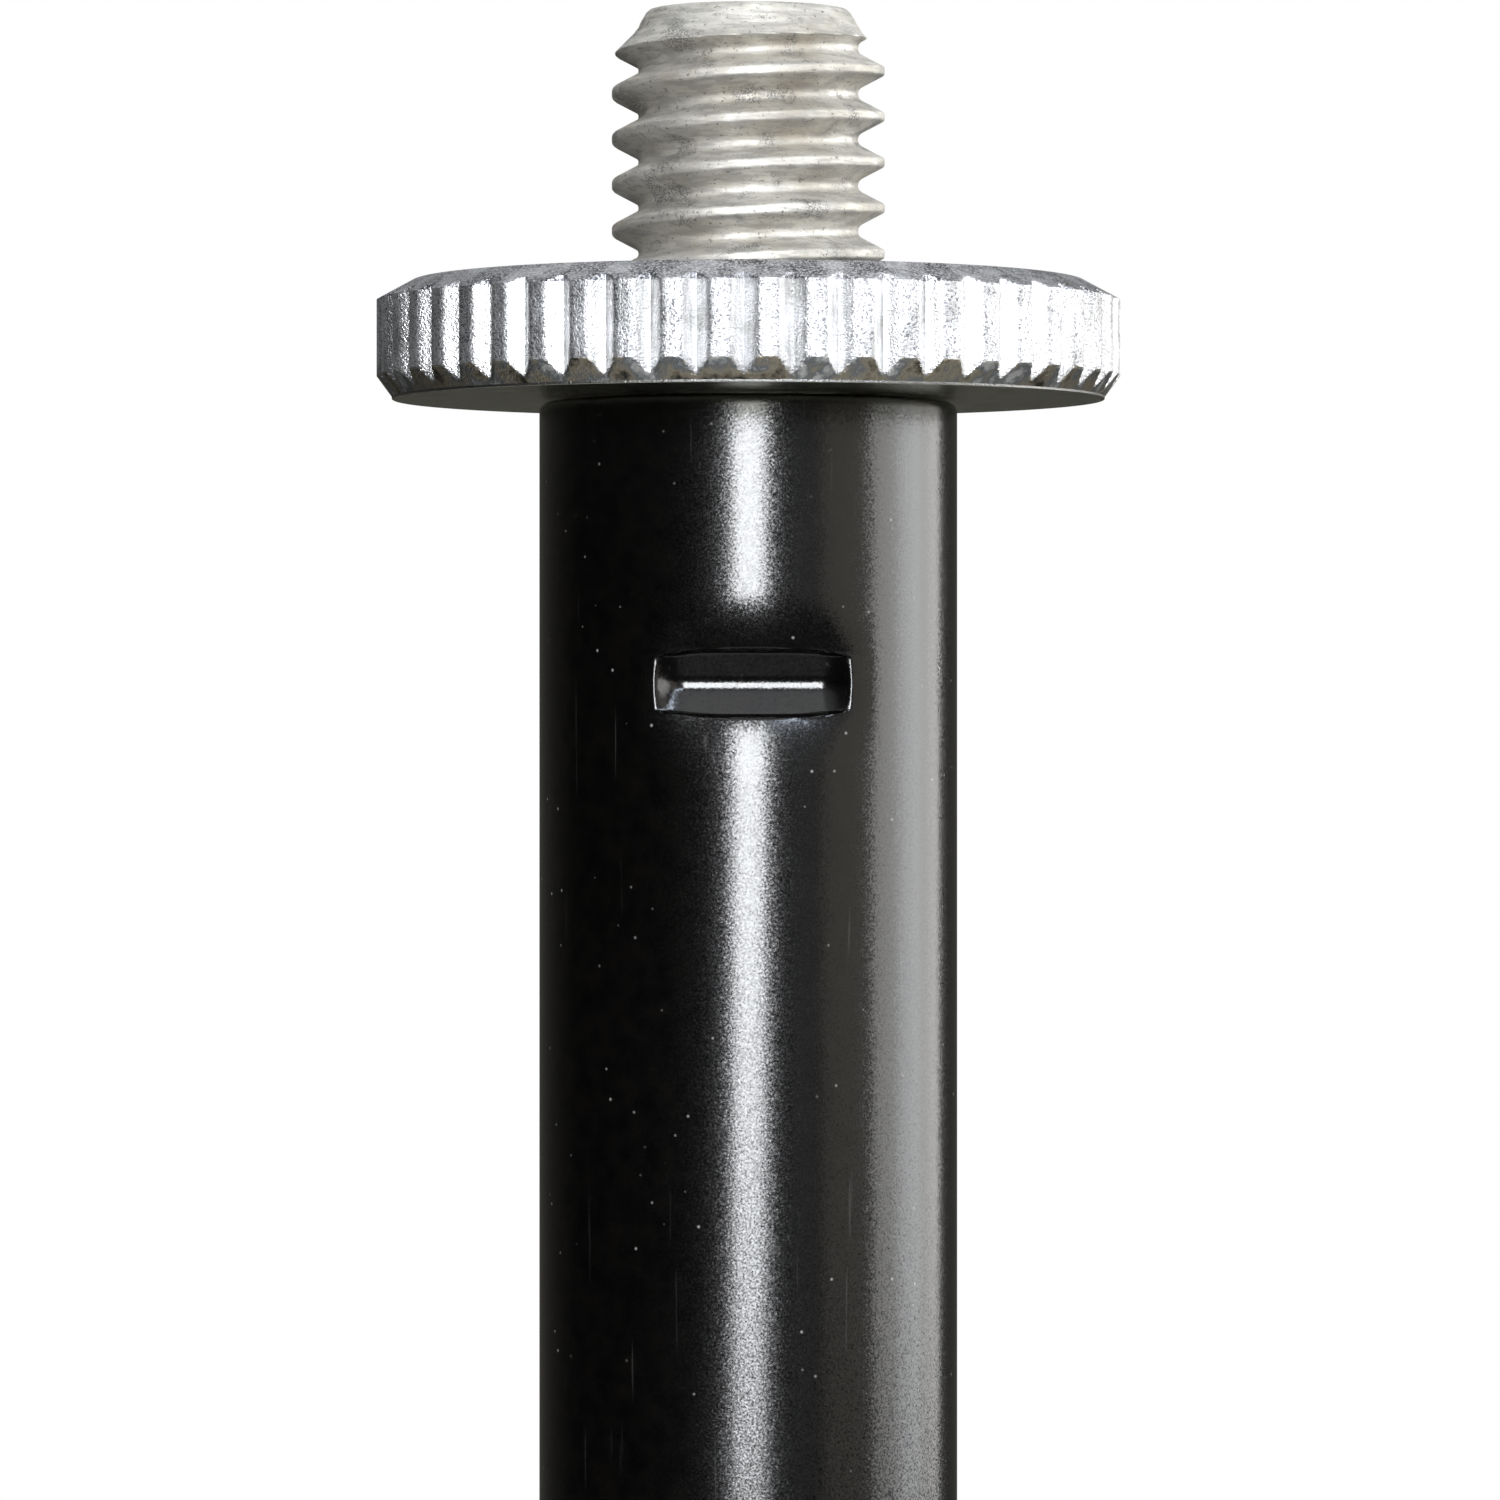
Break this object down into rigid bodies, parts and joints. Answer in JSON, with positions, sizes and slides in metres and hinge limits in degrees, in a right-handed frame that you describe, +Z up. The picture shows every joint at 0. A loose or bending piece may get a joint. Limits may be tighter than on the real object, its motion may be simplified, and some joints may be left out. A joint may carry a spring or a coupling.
{
  "type": "microphone stand",
  "caption": "Straight floor stand for a microphone: threaded stud with a knurled lock nut on a telescopic tube, twist clutch, folding tripod legs with rubber feet.",
  "frame": {"origin": "on the floor, at the middle of the bounding box with the legs open and the extension tube pushed in; the column's axis is at x = 0, y = -82.9 mm", "axes": "+Z up along the column, +Y along leg 1, -Y the side that one crimp pocket faces"},
  "size_m": [0.608, 0.5289, 0.9044],
  "materials": {
    "tube_paint": "black powder coat, satin with a fine grain",
    "hub_paint": "black powder coat over a die casting",
    "stud_zinc": "zinc plating, satin and slightly cloudy",
    "nut_zinc": "bright zinc plating, slightly rough",
    "steel": "plain zinc-plated steel",
    "black_nylon": "moulded, matt with a fine texture",
    "natural_nylon": "moulded, natural colour",
    "rubber": "moulded, matt"
  },
  "bodies": {
    "base": {"hub": "hub_paint", "hub_cap": "black_nylon", "hub_bolt": "steel", "hub_washer": "steel", "leg_pin_1": "steel", "leg_pin_2": "steel", "leg_pin_3": "steel", "lower_tube": "tube_paint", "column_plug": "steel", "clutch_body": "hub_paint", "clutch_collet": "natural_nylon"},
    "sleeve": {"clutch_sleeve": "black_nylon", "guide_ring": "black_nylon"},
    "slider": {"guide_bush": "natural_nylon"},
    "extension": {"upper_tube": "tube_paint", "threaded_stud": "stud_zinc"},
    "nut": {"lock_nut": "nut_zinc"},
    "leg_1": {"leg_root_1": "hub_paint", "leg_tube_1": "tube_paint", "foot_1": "rubber"},
    "leg_2": {"leg_root_2": "hub_paint", "leg_tube_2": "tube_paint", "foot_2": "rubber"},
    "leg_3": {"leg_root_3": "hub_paint", "leg_tube_3": "tube_paint", "foot_3": "rubber"}
  },
  "joints": [
    {"name": "clutch_twist", "type": "hinge", "parent": "base", "child": "sleeve", "pos_m": [0, -0.08293, 0.80147], "axis": [0, 0, 1], "range_deg": [0, 150]},
    {"name": "extension_slide", "type": "slide", "parent": "base", "child": "slider", "axis": [0, 0, 1], "range_m": [0, 0.68]},
    {"name": "extension_turn", "type": "hinge", "parent": "slider", "child": "extension", "pos_m": [0, -0.08293, 0.89077], "axis": [0, 0, 1], "continuous": true},
    {"name": "nut_travel", "type": "slide", "parent": "extension", "child": "nut", "axis": [0, 0, 1], "range_m": [0, 0.0094]},
    {"name": "leg_1_fold", "type": "hinge", "parent": "base", "child": "leg_1", "pos_m": [0, -0.04893, 0.08617], "axis": [-1, 0, 0], "range_deg": [0, 76]},
    {"name": "leg_2_fold", "type": "hinge", "parent": "base", "child": "leg_2", "pos_m": [-0.02944, -0.09993, 0.08617], "axis": [0.5, -0.866, 0], "range_deg": [0, 76]},
    {"name": "leg_3_fold", "type": "hinge", "parent": "base", "child": "leg_3", "pos_m": [0.02944, -0.09993, 0.08617], "axis": [0.5, 0.866, 0], "range_deg": [0, 76]}
  ]
}
